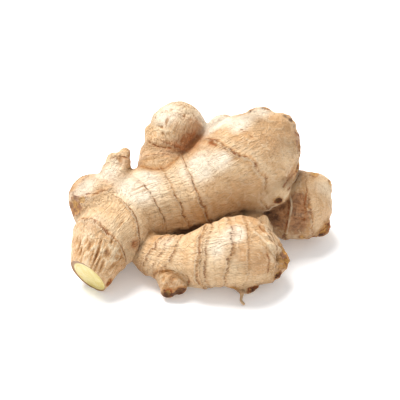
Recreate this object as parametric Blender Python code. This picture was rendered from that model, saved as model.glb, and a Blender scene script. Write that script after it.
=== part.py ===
"""Ginger root: one branched rhizome, cut once with a knife, lying on a flat surface.

Metres, +Z up; the sizes below are in millimetres. Run it with
blender --background --python part.py, or from Blender's text editor.

The fingers are chains of tapered capsules along smooth axes. They are fused by a voxel
remesh, softened where they join, given their scale-leaf rings, bud scars and lumps along
the surface's normals, and then cut flat at the knife cut and where the root lies.
"""

import bmesh
import bpy
import numpy as np
from mathutils import Matrix, Vector, noise

MM = 0.001

# The middle of the finished root's box, on the surface that it lies on
CENTRE = (1.0, -3.3, 0.0)

# How finely the fingers are fused, how often the joins are smoothed, and how many faces are kept
VOXEL = 0.8
SMOOTHING_PASSES = 16
TRIANGLES = 10400
BALL_DIVISIONS = 3
STEPS_PER_SPAN = 4

# Rings: how far a scale leaf's edge stands up, how long its swelling and its drop are,
# and how much the edge wanders along the finger
RING_SWELL = 4.5
RING_DROP = 1.0
RING_WANDER = 1.3
WANDER_SIZE = 7.0

# Lumps that make each finger a little uneven
LUMP_HEIGHT = 0.9
LUMP_SIZE = 13.0

# Over this depth one finger's rings give way to the next one's, and one station's to the next's
JOIN_WIDTH = 1.2
STATION_WIDTH = 0.6


class Finger:
    """One branch of the root: stations (x, y, z, radius) from its root to its tip, and its rings.

    A ring is how far along the finger it lies, how high it stands, and how it leans: for each
    millimetre off the axis towards x, y or z it lies this much nearer to the finger's root.
    """

    def __init__(self, stations, rings=()):
        self.curve = smooth_axis(stations)
        self.rings = rings
        steps = np.diff(self.curve[:, :3], axis=0)
        lengths = np.linalg.norm(steps, axis=1)
        self.along = np.concatenate([[0], np.cumsum(lengths)])
        tangents = np.vstack([steps[:1], steps[1:] + steps[:-1], steps[-1:]])
        self.tangents = tangents / np.linalg.norm(tangents, axis=1)[:, None]


def smooth_axis(stations):
    """A Catmull-Rom curve through the stations, as rows of x, y, z, radius."""
    points = np.array(stations, float)
    ends = 2 * points[[0, -1]] - points[[1, -2]]
    ends[:, 3] = points[[0, -1], 3]
    padded = np.vstack([ends[:1], points, ends[1:]])
    curve = []
    for before, start, end, after in zip(padded, padded[1:], padded[2:], padded[3:]):
        for t in np.arange(STEPS_PER_SPAN) / STEPS_PER_SPAN:
            bend = (2 * before - 5 * start + 4 * end - after) * t**2
            twist = (3 * start - before - 3 * end + after) * t**3
            curve.append((2 * start + (end - before) * t + bend + twist) / 2)
    curve.append(points[-1])
    return np.array(curve)


FINGERS = {
    "mother": Finger(
        [
            (-56.5, -46.0, 8.2, 9.4),
            (-53.0, -39.5, 9.2, 9.9),
            (-49.5, -31.5, 14.0, 12.2),
            (-46.0, -21.5, 17.8, 15.9),
            (-41.0, -12.5, 18.8, 17.8),
            (-36.0, -3.0, 19.3, 19.0),
            (-21.0, 4.0, 22.5, 19.6),
            (0.0, 8.5, 26.5, 20.8),
            (11.1, 11.0, 32.3, 22.1),
            (18.6, 12.6, 37.2, 23.7),
            (25.2, 12.6, 41.4, 24.0),
            (31.0, 14.4, 45.6, 18.6),
        ],
        rings=[
            (24, 0.8, (0, -0.35, -0.25)),
            (33.7, 1.1, (0.05, -0.15, -0.35)),
            (58.8, 0.6, (-0.15, 0.25, 0)),
            (75.5, 0.7, (0, 0.1, 0.2)),
            (86, 0.9, (0.35, 0.1, 0.1)),
            (104, 0.8, (-0.3, 0.7, -0.4)),
            (141.5, 0.6, (-0.15, 0.1, 0.1)),
        ],
    ),
    "left_lobe": Finger(
        [(-44.5, -7.0, 21.0, 16.5), (-48.5, -4.0, 25.5, 15.2), (-51.2, -3.0, 28.0, 13.5)],
        rings=[(18, 0.5, (0.55, -0.25, 0.25)), (22, 0.4, (0, 0, 0))],
    ),
    "left_nub": Finger(
        [(-43.7, 4.0, 32.9, 8.2), (-42.0, 11.0, 37.5, 6.6), (-42.6, 13.0, 40.0, 5.2)],
        rings=[(9, 0.4, (0, 0, 0))],
    ),
    "nub_tip": Finger([(-39.5, 12.0, 37.5, 5.0), (-37.4, 16.0, 43.5, 3.0)], rings=[(4, 0.5, (0, 0, 0))]),
    "knob": Finger(
        [
            (-17.1, 12.0, 31.0, 15.1),
            (-17.2, 20.0, 37.7, 12.6),
            (-14.1, 24.0, 42.9, 13.1),
            (-11.1, 29.0, 48.7, 14.7),
        ],
        rings=[(8, 0.6, (0, 0, 0)), (12, 0.8, (0, 0.35, -0.1)), (30, 0.4, (0, 0.2, 0))],
    ),
    "knob_bump": Finger([(-18.0, 22.0, 46.0, 9.0), (-24.3, 24.0, 51.5, 3.7)]),
    "shoulder": Finger([(11.1, 19.0, 43.0, 12.1), (11.6, 26.0, 50.1, 8.6)]),
    "end_crest": Finger([(29.0, 16.8, 50.8, 15.0), (30.4, 19.6, 58.8, 8.4)]),
    "end_corner": Finger([(34.0, 14.8, 48.6, 15.0), (38.8, 15.4, 58.4, 8.0)]),
    "end_lip": Finger([(27.5, 5.0, 34.8, 16.2), (35.2, -1.4, 34.2, 9.6)], rings=[(12, 0.7, (0, 0, 0.2))]),
    "front": Finger(
        [
            (-31.0, -12.0, 12.0, 10.8),
            (-24.5, -22.5, 10.2, 9.4),
            (-14.4, -30.0, 12.2, 11.3),
            (-4.8, -31.0, 12.5, 12.3),
            (2.0, -31.5, 14.4, 14.1),
            (12.4, -31.5, 16.8, 15.9),
            (18.6, -30.8, 17.5, 17.4),
            (24.5, -30.3, 15.4, 14.6),
            (30.0, -30.5, 12.9, 11.6),
            (34.6, -31.0, 12.0, 8.2),
        ],
        rings=[
            (18.7, 0.6, (-0.1, -0.1, -0.3)),
            (24.1, 0.5, (-0.1, -0.2, -0.1)),
            (28.6, 0.6, (0, -0.35, -0.15)),
            (43.2, 0.9, (0, -0.25, -0.1)),
            (46.2, 0.6, (0, -0.25, -0.1)),
            (51, 0.6, (0, 0, -0.25)),
            (60.3, 0.4, (0, 0, 0)),
            (73, 0.6, (-0.1, 0.3, 0.4)),
            (79, 0.6, (0, 0.2, 0.1)),
        ],
    ),
    "front_nub": Finger(
        [(-14.8, -35.0, 9.6, 7.6), (-13.6, -39.8, 7.4, 6.5), (-15.4, -43.2, 4.6, 4.2)],
        rings=[(6, 0.5, (-0.3, 0, 0.35)), (9, 0.5, (0, 0, 0))],
    ),
    "front_nub_side": Finger([(-13.4, -39.8, 7.4, 6.3), (-10.6, -42.4, 6.4, 4.2)]),
    "front_bud": Finger(
        [(20.6, -36.0, 10.6, 8.2), (22.1, -38.5, 5.2, 5.8)],
        rings=[(5, 0.4, (0, 0, 0)), (9, 0.6, (0, 0, 0))],
    ),
    "back_lobe": Finger(
        [
            (31.0, 15.0, 30.0, 12.5),
            (41.0, 11.0, 19.8, 15.6),
            (47.8, 8.0, 17.2, 18.1),
            (50.7, 8.4, 17.2, 16.6),
        ],
        rings=[(20.3, 0.8, (0, 0.05, 0.1)), (27.7, 0.8, (0, 0.1, 0.1)), (39.3, 0.5, (0, 0.05, 0.2))],
    ),
    "back_corner": Finger([(51.0, 8.4, 21.2, 14.0), (57.4, 8.2, 26.4, 9.0)]),
    "back_bud": Finger([(53.0, 4.4, 13.6, 11.0), (60.5, 0.8, 8.7, 5.4)], rings=[(11, 0.5, (0, 0, 0))]),
    "web": Finger(
        [(-14.0, -11.0, 7.4, 7.8), (2.0, -12.0, 7.2, 7.6), (16.0, -12.0, 9.4, 8.4), (27.0, -12.0, 16.4, 9.2)]
    ),
    "torn_scale": Finger([(27.5, -22.0, 22.0, 6.5), (31.0, -16.5, 26.6, 2.6)]),
    "belly": Finger([(-22.0, 6.0, 15.0, 13.0), (-18.0, 9.0, 12.0, 12.9)]),
    "back_nub": Finger([(5.0, 18.0, 20.0, 11.0), (8.0, 30.0, 13.5, 5.5)], rings=[(9, 0.5, (0, 0, 0))]),
}

# A dried rootlet that curls out of the front finger's lower bud onto the surface
ROOTLET = Finger(
    [(20.5, -42.0, 4.5, 1.4), (20.0, -45.5, 3.4, 1.2), (19.5, -48.0, 1.8, 1.0), (20.8, -49.6, 1.0, 0.9)]
)
ROOTLET_VOXEL = 0.4

# Scars of buds and small roots: centre, radius, height of the raised rim, depth inside it
BUD_SCARS = [
    ((-43.8, -42.8, 8.8), 2.0, 0.5, 0.7),
    ((-15.2, -46.3, 5.0), 2.6, 0.5, 0.8),
    ((-9.5, -46.2, 6.1), 2.2, 0.4, 0.6),
    ((37.3, -39.6, 9.9), 2.4, 0.6, 1.0),
    ((24.9, -42.8, 5.1), 2.6, 0.7, 0.8),
    ((62.4, -2.5, 9.8), 4.0, 1.0, 1.2),
    ((55.9, -4.6, 6.9), 2.2, 0.6, 0.6),
    ((38.0, -10.3, 32.9), 2.0, 0.7, 0.9),
    ((26.0, 35.3, 46.0), 4.0, 0.7, 0.9),
    ((46.0, 25.7, 18.0), 4.2, 0.7, 0.9),
    ((-52.0, 10.3, 28.0), 3.4, 0.6, 0.7),
]

# Patches of torn, corky skin, given in the same way
TORN_PATCHES = [
    ((-59.9, -11.6, 30.8), 4.2, 0.7, 1.0),
    ((-56.6, -12.5, 35.1), 1.8, 0.4, 0.4),
    ((40.3, -32.2, 16.8), 3.2, 0.7, 0.8),
    ((40.7, -34.6, 14.4), 3.0, 0.7, 0.8),
    ((15.8, -43.1, 6.0), 2.6, 0.5, 0.4),
    ((48.3, 11.6, 51.1), 4.2, 0.6, 0.8),
    ((47.2, 4.0, 42.5), 2.4, 0.8, 0.4),
    ((45.6, 16.4, 62.6), 2.6, 0.5, 0.5),
    ((32.4, 20.2, 67.1), 2.0, 0.5, 0.4),
    ((25.6, 21.8, 65.0), 1.8, 0.5, 0.4),
    ((51.0, -7.6, 9.3), 1.8, 0.4, 0.5),
    ((57.0, 9.0, 35.0), 2.0, 0.5, 0.4),
    ((64.5, 7.4, 31.2), 1.8, 0.5, 0.4),
    ((-10.0, 42.0, 52.0), 3.2, 0.6, 0.7),
    ((-34.0, 18.0, 16.0), 3.0, 0.6, 0.6),
]

# The knife cut across the mother finger's root end, and the surface that the root lies on
CUT_CENTRE = (-53.1, -39.5, 9.2)
CUT_NORMAL = (-0.56, -0.77, -0.29)
PLANES = [(CUT_CENTRE, CUT_NORMAL), ((0, 0, 0), (0, 0, -1))]


def clear_scene():
    for obj in list(bpy.data.objects):
        bpy.data.objects.remove(obj)


def add_capsule(mesh, start, end):
    """Adds the hull of two balls, each given as x, y, z, radius."""
    capsule = bmesh.new()
    for x, y, z, radius in (start, end):
        place = Matrix.Translation((x, y, z))
        bmesh.ops.create_icosphere(capsule, subdivisions=BALL_DIVISIONS, radius=radius, matrix=place)
    corners = [mesh.verts.new(v.co) for v in capsule.verts]
    capsule.free()
    hull = bmesh.ops.convex_hull(mesh, input=corners)
    loose = {g for g in hull["geom_interior"] + hull["geom_unused"] if isinstance(g, bmesh.types.BMVert)}
    bmesh.ops.delete(mesh, geom=list(loose), context="VERTS")


def new_object(name, data):
    obj = bpy.data.objects.new(name, data)
    bpy.context.scene.collection.objects.link(obj)
    return obj


def applied(obj):
    """The object's mesh with its modifiers applied. The object itself is removed."""
    graph = bpy.context.evaluated_depsgraph_get()
    data = bpy.data.meshes.new_from_object(obj.evaluated_get(graph))
    bpy.data.objects.remove(obj)
    return data


def grown(name, fingers, voxel, passes):
    """The fingers as one object whose modifiers fuse them and soften the joins."""
    mesh = bmesh.new()
    for finger in fingers:
        for start, end in zip(finger.curve, finger.curve[1:]):
            add_capsule(mesh, start, end)
    data = bpy.data.meshes.new(name)
    mesh.to_mesh(data)
    mesh.free()
    obj = new_object(name, data)
    remesh = obj.modifiers.new("fuse", "REMESH")
    remesh.mode = "VOXEL"
    remesh.voxel_size = voxel
    smooth = obj.modifiers.new("soften joins", "SMOOTH")
    smooth.factor = 0.5
    smooth.iterations = passes
    return obj


def fused_fingers():
    """All the fingers and the rootlet as one closed mesh."""
    body = grown("fingers", FINGERS.values(), VOXEL, SMOOTHING_PASSES)
    rootlet = grown("rootlet", [ROOTLET], ROOTLET_VOXEL, 1)
    union = body.modifiers.new("join the rootlet", "BOOLEAN")
    union.operation = "UNION"
    union.solver = "EXACT"
    union.object = rootlet
    fused = applied(body)
    bpy.data.objects.remove(rootlet)
    return fused


def locate(points, finger):
    """For each point, how far it is outside the finger, how far along it, and how it is off the axis.

    Each station counts by how near it is, so that rings run smoothly round a bend.
    """
    gap = np.full(len(points), np.inf)
    total = np.zeros(len(points))
    along = np.zeros(len(points))
    offset = np.zeros(points.shape)
    for (x, y, z, radius), start, tangent in zip(finger.curve, finger.along, finger.tangents):
        away = points - (x, y, z)
        outside = np.linalg.norm(away, axis=1) - radius
        gap = np.minimum(gap, outside)
        share = np.exp(-outside / STATION_WIDTH)
        total += share
        along += share * (start + away @ tangent)
        offset += share[:, None] * away
    return gap, along / total, offset / total[:, None]


def noise_at(points, size, seed):
    """Smooth noise from -1 to 1 whose bumps are about size across."""
    shift = Vector((seed * 17.3, seed * 5.1, seed * 9.7))
    return np.array([noise.noise(Vector(p) / size + shift) for p in points])


def ring_height(past, height):
    """A scale leaf's swelling up to its edge, and the quick drop past it. past is 0 at the edge."""
    swell = np.exp(np.minimum(past, 0) / RING_SWELL) * (past <= 0)
    drop = np.clip(1 - past / RING_DROP, -0.35, 1) * (past > 0)
    recover = np.exp(-np.maximum(past - 2 * RING_DROP, 0) / RING_SWELL)
    return height * (swell + drop * recover)


def relief(points):
    """How far each point moves along its normal: rings along each finger, and uneven lumps."""
    wander = RING_WANDER * noise_at(points, WANDER_SIZE, seed=1)
    found = [locate(points, finger) for finger in FINGERS.values()]
    gaps = np.array([gap for gap, along, offset in found])
    weights = np.exp((gaps.min(axis=0) - gaps) / JOIN_WIDTH)
    weights /= weights.sum(axis=0)
    rise = LUMP_HEIGHT * noise_at(points, LUMP_SIZE, seed=2)
    for weight, (gap, along, offset), finger in zip(weights, found, FINGERS.values()):
        for place, height, lean in finger.rings:
            rise += weight * ring_height(along + offset @ lean + wander - place, height)
    for centre, radius, rim, depth in BUD_SCARS + TORN_PATCHES:
        reach = np.linalg.norm(points - centre, axis=1) / radius
        rise += rim * np.exp(-(((reach - 1) / 0.35) ** 2)) - depth * np.clip(1.2 - reach, 0, 0.6) / 0.6
    return rise


def raise_surface(data):
    """Moves the mesh's points along their normals by the relief."""
    points = np.array([v.co for v in data.vertices])
    normals = np.array([v.normal for v in data.vertices])
    points += normals * relief(points)[:, None]
    data.vertices.foreach_set("co", points.ravel())


def thinned(data):
    """The mesh with only as many triangles as its form needs."""
    obj = new_object("thinned", data)
    thin = obj.modifiers.new("fewer faces", "DECIMATE")
    thin.ratio = TRIANGLES / (2 * len(data.polygons))
    thin.use_collapse_triangulate = True
    return applied(obj)


def cut_flat(mesh, point, normal):
    """Cuts away all that lies past the plane and closes the cut with one flat face."""
    whole = mesh.verts[:] + mesh.edges[:] + mesh.faces[:]
    cut = bmesh.ops.bisect_plane(mesh, geom=whole, plane_co=point, plane_no=normal, clear_outer=True)
    rim = [g for g in cut["geom_cut"] if isinstance(g, bmesh.types.BMEdge)]
    bmesh.ops.holes_fill(mesh, edges=rim)


def skin_material():
    """Pale papery ginger skin."""
    material = bpy.data.materials.new("ginger_skin")
    material.use_nodes = True
    shader = material.node_tree.nodes["Principled BSDF"]
    shader.inputs["Base Color"].default_value = (0.72, 0.50, 0.29, 1)
    shader.inputs["Roughness"].default_value = 0.6
    shader.inputs["Metallic"].default_value = 0
    return material


def main():
    clear_scene()
    data = fused_fingers()
    raise_surface(data)
    data = thinned(data)
    mesh = bmesh.new()
    mesh.from_mesh(data)
    for point, normal in PLANES:
        cut_flat(mesh, point, normal)
    bmesh.ops.triangulate(mesh, faces=mesh.faces[:])
    bmesh.ops.translate(mesh, vec=-Vector(CENTRE), verts=mesh.verts)
    bmesh.ops.scale(mesh, vec=(MM, MM, MM), verts=mesh.verts)
    mesh.to_mesh(data)
    mesh.free()
    data.name = "ginger_root"
    data.shade_smooth()
    data.materials.clear()
    data.materials.append(skin_material())
    new_object("ginger_root", data)


main()
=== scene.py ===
"""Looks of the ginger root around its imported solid: fine skin, rings, scars, cut flesh and light.

The scene is in metres. The root's own sizes are in millimetres, in the frame that its stations
were chosen in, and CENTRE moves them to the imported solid's frame.
"""

import math

import bmesh
import bpy
import numpy as np
from mathutils import Matrix, Vector, noise


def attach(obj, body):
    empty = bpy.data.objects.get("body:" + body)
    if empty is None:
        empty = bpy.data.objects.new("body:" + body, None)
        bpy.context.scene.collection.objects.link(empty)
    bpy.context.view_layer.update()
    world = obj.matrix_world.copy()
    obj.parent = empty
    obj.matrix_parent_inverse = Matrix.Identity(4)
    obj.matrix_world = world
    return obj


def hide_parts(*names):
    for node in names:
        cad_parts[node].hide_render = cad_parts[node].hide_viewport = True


MM = 0.001
NODE = "ginger_root"

# The middle of the root's box, on the surface that it lies on
CENTRE = (1.0, -3.3, 0.0)

# How finely the fingers are fused, how often their joins are smoothed, how round the balls at
# their stations are, and how many steps an axis takes from one given station to the next
VOXEL = 0.7
SMOOTHING_PASSES = 21
BALL_DIVISIONS = 3
STEPS_PER_SPAN = 4

# Rings: how long a scale leaf's swelling and the drop past its edge are, how deep the groove past
# the drop is as a share of the ring's height, how much the edge wanders along the finger, and how
# far its torn teeth reach
RING_SWELL = 4.5
RING_DROP = 1.0
RING_GROOVE = 0.35
RING_WANDER = 1.3
WANDER_SIZE = 7.0
TEETH_LENGTH = 0.5
TEETH_SIZE = 1.4

# The least share of the skin that a finger must have at a point for its ring to be read there,
# and how the skin's tone steps from ring to ring and from finger to finger, in radians of a sine
READ_SHARE = 0.3
TONE_PER_RING = 7.0
TONE_PER_FINGER = 3.0

# Lumps that make each finger a little uneven, from large to fine
LUMP_HEIGHT = 0.9
LUMP_SIZE = 13.0
DIMPLE_HEIGHT = 0.2
DIMPLE_SIZE = 4.0

# Wrinkles and wider folds along the fingers: their size across the finger, how many times longer
# both are along it, how many times longer still the wrinkles are, how deep these are everywhere,
# and a direction that no finger starts along, from which its grain is measured
WRINKLE_SIZE = 1.9
FOLD_SIZE = 3.0
GRAIN_LENGTH = 7.0
WRINKLE_LENGTH = 2.0
WRINKLE_DEPTH = 0.06
GRAIN_FROM = (0.3, -0.2, 0.9)

# Thin torn seams and raised ridges: how deep and how high, and how far below the surface
# a line's straight pieces may run
SEAM_DEPTH = 0.25
RIDGE_HEIGHT = 0.45
LINE_SUNK = 3.0

# Scars, as shares of their radius: half the rim's width, where the hollow's wall starts, how wide
# the wall is, and how uneven the scar's edge is; and the size of the edge's bays
RIM_WIDTH = 0.35
WALL_START = 1.2
WALL_WIDTH = 0.6
EDGE_WAVER = 0.35
EDGE_SIZE = 2.2

# Torn, corky patches: how large and how deep their pits are, and how far out these reach as a
# share of the patch's radius
TORN_SIZE = 1.6
TORN_DEPTH = 0.45
TORN_REACH = 1.6

# What is stored where no ring, line or scar is near
FAR_FROM_RING = 30.0
FAR_FROM_LINE = 9.0
FAR_FROM_SCAR = 3.0

# Over these depths one finger's skin gives way to the next one's, and one station's to the next's
JOIN_WIDTH = 1.2
STATION_WIDTH = 0.6

# The main branches, and how wide the painted warm shade is in the joins between them
BRANCHES = ("mother", "knob", "front", "back_lobe", "front_nub")
CREVICE_WIDTH = 1.1

# How far apart the places are from which two seeds read the noise
SEED_STEP = (17.3, 5.1, 9.7)

# The cut face's radius, how far its flesh is sunk, and its rings of faces: how far out each lies
# as a share of the rim, and how far it is sunk
CUT_RADIUS = 9.7
FLESH_SUNK = 0.3
FLESH_RINGS = [(0.985, 0.0), (0.95, 0.25)] + [(ring / 12, FLESH_SUNK) for ring in range(11, 0, -1)]

# The skin's finish: how rough it is in its fine hollows and between them, how shiny it is, and
# how high its bumps stand, in metres
SKIN_ROUGH = 0.58
SKIN_SMOOTH = 0.44
SKIN_SHINE = 0.35
SKIN_BUMP = 0.0020

# The flesh's finish: how rough it is, how high its bumps stand, in metres, and how far out its
# inner ring lies as a share of the cut's radius
FLESH_ROUGH = 0.35
FLESH_BUMP = 0.0002
FLESH_INNER_RING = 0.80

# How many bumps of each noise lie along a metre: the skin's broad patches, where it is crinkled,
# its papery flakes and its cork, the ring lines' fades, breaks and ink, the bud scars' cups, and
# the flesh's clouds and fibres
PATCH_SCALE = 50.0
CRINKLED_SCALE = 45.0
PAPERY_SCALE = 330.0
CORK_SCALE = 300.0
FADE_SCALE = 70.0
BREAK_SCALE = 420.0
INK_SCALE = 200.0
CUP_SCALE = 260.0
CLOUD_SCALE = 260.0
FIBRE_SCALE = 900.0

# The same along a millimetre across the grain: crinkles, fine grain, the rings' waves and teeth
CRINKLE_SCALE = 0.9
FINE_SCALE = 2.2
WAVE_SCALE = 1.2
TOOTH_SCALE = 4.0

# The photo's view: how far the camera looks down, the point that it looks at, how far away that
# is, the lens, and the nearest that the camera sees, in metres
CAMERA_DOWN = math.radians(36)
CAMERA_AIM = (0.0, 0.0, 26.0)
CAMERA_DISTANCE = 580.0
CAMERA_LENS = 105
CAMERA_NEAR = 0.01

# The studio: half the floor's width in metres, how pale, glowing, rough and shiny the floor is,
# how bright the sky is, and where the sun stands, how strong it is and how wide
FLOOR_REACH = 3.0
FLOOR_PALENESS = 0.9
FLOOR_GLOW = 0.18
FLOOR_ROUGH = 0.8
FLOOR_SHINE = 0.1
SKY_BRIGHTNESS = 0.72
SUN_TOWARDS = (-0.36, 0.40, 1.0)
SUN_STRENGTH = 4.4
SUN_WIDTH = math.radians(32)

# The sockets of the node that mixes two colours: the inputs' places and the result's
MIX_AMOUNT = 0
MIX_UNDER = 6
MIX_OVER = 7
MIX_RESULT = 2


class Finger:
    """One branch of the root: stations (x, y, z, radius) from its root to its tip, and its rings.

    A ring is how far along the finger it lies, how high it stands, and how it leans: for each
    millimetre off the axis towards x, y or z it lies this much nearer to the finger's root.
    """

    def __init__(self, stations, rings=()):
        self.curve = smooth_axis(stations)
        self.rings = rings
        steps = np.diff(self.curve[:, :3], axis=0)
        lengths = np.linalg.norm(steps, axis=1)
        self.along = np.concatenate([[0], np.cumsum(lengths)])
        tangents = np.vstack([steps[:1], steps[1:] + steps[:-1], steps[-1:]])
        self.tangents = tangents / np.linalg.norm(tangents, axis=1)[:, None]
        self.sides = sides_along(self.tangents)


def sides_along(tangents):
    """A direction across the finger at each station, which turns as little as it can."""
    side = np.cross(tangents[0], GRAIN_FROM)
    sides = []
    for tangent in tangents:
        side = side - (side @ tangent) * tangent
        side = side / np.linalg.norm(side)
        sides.append(side)
    return np.array(sides)


def smooth_axis(stations):
    """A Catmull-Rom curve through the stations, as rows of x, y, z, radius."""
    points = np.array(stations, float)
    ends = 2 * points[[0, -1]] - points[[1, -2]]
    ends[:, 3] = points[[0, -1], 3]
    padded = np.vstack([ends[:1], points, ends[1:]])
    curve = []
    for before, start, end, after in zip(padded, padded[1:], padded[2:], padded[3:]):
        for t in np.arange(STEPS_PER_SPAN) / STEPS_PER_SPAN:
            bend = (2 * before - 5 * start + 4 * end - after) * t**2
            twist = (3 * start - before - 3 * end + after) * t**3
            curve.append((2 * start + (end - before) * t + bend + twist) / 2)
    curve.append(points[-1])
    return np.array(curve)


FINGERS = {
    "mother": Finger(
        [
            (-56.5, -46.0, 8.2, 9.4),
            (-53.0, -39.5, 9.2, 9.9),
            (-49.5, -31.5, 14.0, 12.2),
            (-46.0, -21.5, 17.8, 15.9),
            (-41.0, -12.5, 18.8, 17.8),
            (-36.0, -3.0, 19.3, 19.0),
            (-21.0, 4.0, 22.5, 19.6),
            (0.0, 8.5, 26.5, 20.8),
            (11.1, 11.0, 32.3, 22.1),
            (18.6, 12.6, 37.2, 23.7),
            (25.2, 12.6, 41.4, 24.0),
            (31.0, 14.4, 45.6, 18.6),
        ],
        rings=[
            (24, 0.8, (0, -0.35, -0.25)),
            (33.7, 1.1, (0.05, -0.15, -0.35)),
            (58.8, 0.6, (-0.15, 0.25, 0)),
            (75.5, 0.7, (0, 0.1, 0.2)),
            (86, 0.9, (0.35, 0.1, 0.1)),
            (104, 0.8, (-0.3, 0.7, -0.4)),
            (141.5, 0.6, (-0.15, 0.1, 0.1)),
        ],
    ),
    "left_lobe": Finger(
        [(-44.5, -7.0, 21.0, 16.5), (-48.5, -4.0, 25.5, 15.2), (-51.2, -3.0, 28.0, 13.5)],
        rings=[(18, 0.5, (0.55, -0.25, 0.25)), (22, 0.4, (0, 0, 0))],
    ),
    "left_nub": Finger(
        [(-43.7, 4.0, 32.9, 8.2), (-42.0, 11.0, 37.5, 6.6), (-42.6, 13.0, 40.0, 5.2)],
        rings=[(9, 0.4, (0, 0, 0))],
    ),
    "nub_tip": Finger([(-39.5, 12.0, 37.5, 5.0), (-37.4, 16.0, 43.5, 3.0)], rings=[(4, 0.5, (0, 0, 0))]),
    "knob": Finger(
        [
            (-17.1, 12.0, 31.0, 15.1),
            (-17.2, 20.0, 37.7, 12.6),
            (-14.1, 24.0, 42.9, 13.1),
            (-11.1, 29.0, 48.7, 14.7),
        ],
        rings=[(8, 0.6, (0, 0, 0)), (12, 0.8, (0, 0.35, -0.1)), (30, 0.4, (0, 0.2, 0))],
    ),
    "knob_bump": Finger([(-18.0, 22.0, 46.0, 9.0), (-24.3, 24.0, 51.5, 3.7)]),
    "shoulder": Finger([(11.1, 19.0, 43.0, 12.1), (11.6, 26.0, 50.1, 8.6)]),
    "end_crest": Finger([(29.0, 16.8, 50.8, 15.0), (30.4, 19.6, 58.8, 8.4)]),
    "end_corner": Finger([(34.0, 14.8, 48.6, 15.0), (38.8, 15.4, 58.4, 8.0)]),
    "end_lip": Finger([(27.5, 5.0, 34.8, 16.2), (35.2, -1.4, 34.2, 9.6)], rings=[(12, 0.7, (0, 0, 0.2))]),
    "front": Finger(
        [
            (-31.0, -12.0, 12.0, 10.8),
            (-24.5, -22.5, 10.2, 9.4),
            (-14.4, -30.0, 12.2, 11.3),
            (-4.8, -31.0, 12.5, 12.3),
            (2.0, -31.5, 14.4, 14.1),
            (12.4, -31.5, 16.8, 15.9),
            (18.6, -30.8, 17.5, 17.4),
            (24.5, -30.3, 15.4, 14.6),
            (30.0, -30.5, 12.9, 11.6),
            (34.6, -31.0, 12.0, 8.2),
        ],
        rings=[
            (18.7, 0.6, (-0.1, -0.1, -0.3)),
            (24.1, 0.5, (-0.1, -0.2, -0.1)),
            (28.6, 0.6, (0, -0.35, -0.15)),
            (43.2, 0.9, (0, -0.25, -0.1)),
            (46.2, 0.6, (0, -0.25, -0.1)),
            (51, 0.6, (0, 0, -0.25)),
            (60.3, 0.4, (0, 0, 0)),
            (73, 0.6, (-0.1, 0.3, 0.4)),
            (79, 0.6, (0, 0.2, 0.1)),
        ],
    ),
    "front_nub": Finger(
        [(-14.8, -35.0, 9.6, 7.6), (-13.6, -39.8, 7.4, 6.5), (-15.4, -43.2, 4.6, 4.2)],
        rings=[(6, 0.5, (-0.3, 0, 0.35)), (9, 0.5, (0, 0, 0))],
    ),
    "front_nub_side": Finger([(-13.4, -39.8, 7.4, 6.3), (-10.6, -42.4, 6.4, 4.2)]),
    "front_bud": Finger(
        [(20.6, -36.0, 10.6, 8.2), (22.1, -38.5, 5.2, 5.8)],
        rings=[(5, 0.4, (0, 0, 0)), (9, 0.6, (0, 0, 0))],
    ),
    "back_lobe": Finger(
        [
            (31.0, 15.0, 30.0, 12.5),
            (41.0, 11.0, 19.8, 15.6),
            (47.8, 8.0, 17.2, 18.1),
            (50.7, 8.4, 17.2, 16.6),
        ],
        rings=[(20.3, 0.8, (0, 0.05, 0.1)), (27.7, 0.8, (0, 0.1, 0.1)), (39.3, 0.5, (0, 0.05, 0.2))],
    ),
    "back_corner": Finger([(51.0, 8.4, 21.2, 14.0), (57.4, 8.2, 26.4, 9.0)]),
    "back_bud": Finger([(53.0, 4.4, 13.6, 11.0), (60.5, 0.8, 8.7, 5.4)], rings=[(11, 0.5, (0, 0, 0))]),
    "web": Finger(
        [
            (-14.0, -11.0, 7.4, 7.8),
            (2.0, -12.0, 7.2, 7.6),
            (16.0, -12.0, 9.4, 8.4),
            (27.0, -12.0, 16.4, 9.2),
        ]
    ),
    "torn_scale": Finger([(27.5, -22.0, 22.0, 6.5), (31.0, -16.5, 26.6, 2.6)]),
    "belly": Finger([(-22.0, 6.0, 15.0, 13.0), (-18.0, 9.0, 12.0, 12.9)]),
    "back_nub": Finger([(5.0, 18.0, 20.0, 11.0), (8.0, 30.0, 13.5, 5.5)], rings=[(9, 0.5, (0, 0, 0))]),
}

# A dried rootlet that curls out of the front finger's lower bud onto the surface
ROOTLET = Finger(
    [(20.5, -42.0, 4.5, 1.4), (20.0, -45.5, 3.4, 1.2), (19.5, -48.0, 1.8, 1.0), (20.8, -49.6, 1.0, 0.9)]
)
ROOTLET_VOXEL = 0.4

# Scars of buds and small roots: centre, radius, height of the raised rim, depth inside it
BUD_SCARS = [
    ((-43.8, -42.8, 8.8), 2.0, 0.5, 0.7),
    ((-15.2, -46.3, 5.0), 2.6, 0.5, 0.8),
    ((-9.5, -46.2, 6.1), 2.2, 0.4, 0.6),
    ((37.3, -39.6, 9.9), 2.4, 0.6, 1.0),
    ((24.9, -42.8, 5.1), 2.6, 0.7, 0.8),
    ((62.4, -2.5, 9.8), 4.0, 1.0, 1.2),
    ((55.9, -4.6, 6.9), 2.2, 0.6, 0.6),
    ((38.0, -10.3, 32.9), 2.0, 0.7, 0.9),
    ((26.0, 35.3, 46.0), 4.0, 0.7, 0.9),
    ((46.0, 25.7, 18.0), 4.2, 0.7, 0.9),
    ((-52.0, 10.3, 28.0), 3.4, 0.6, 0.7),
]

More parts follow.
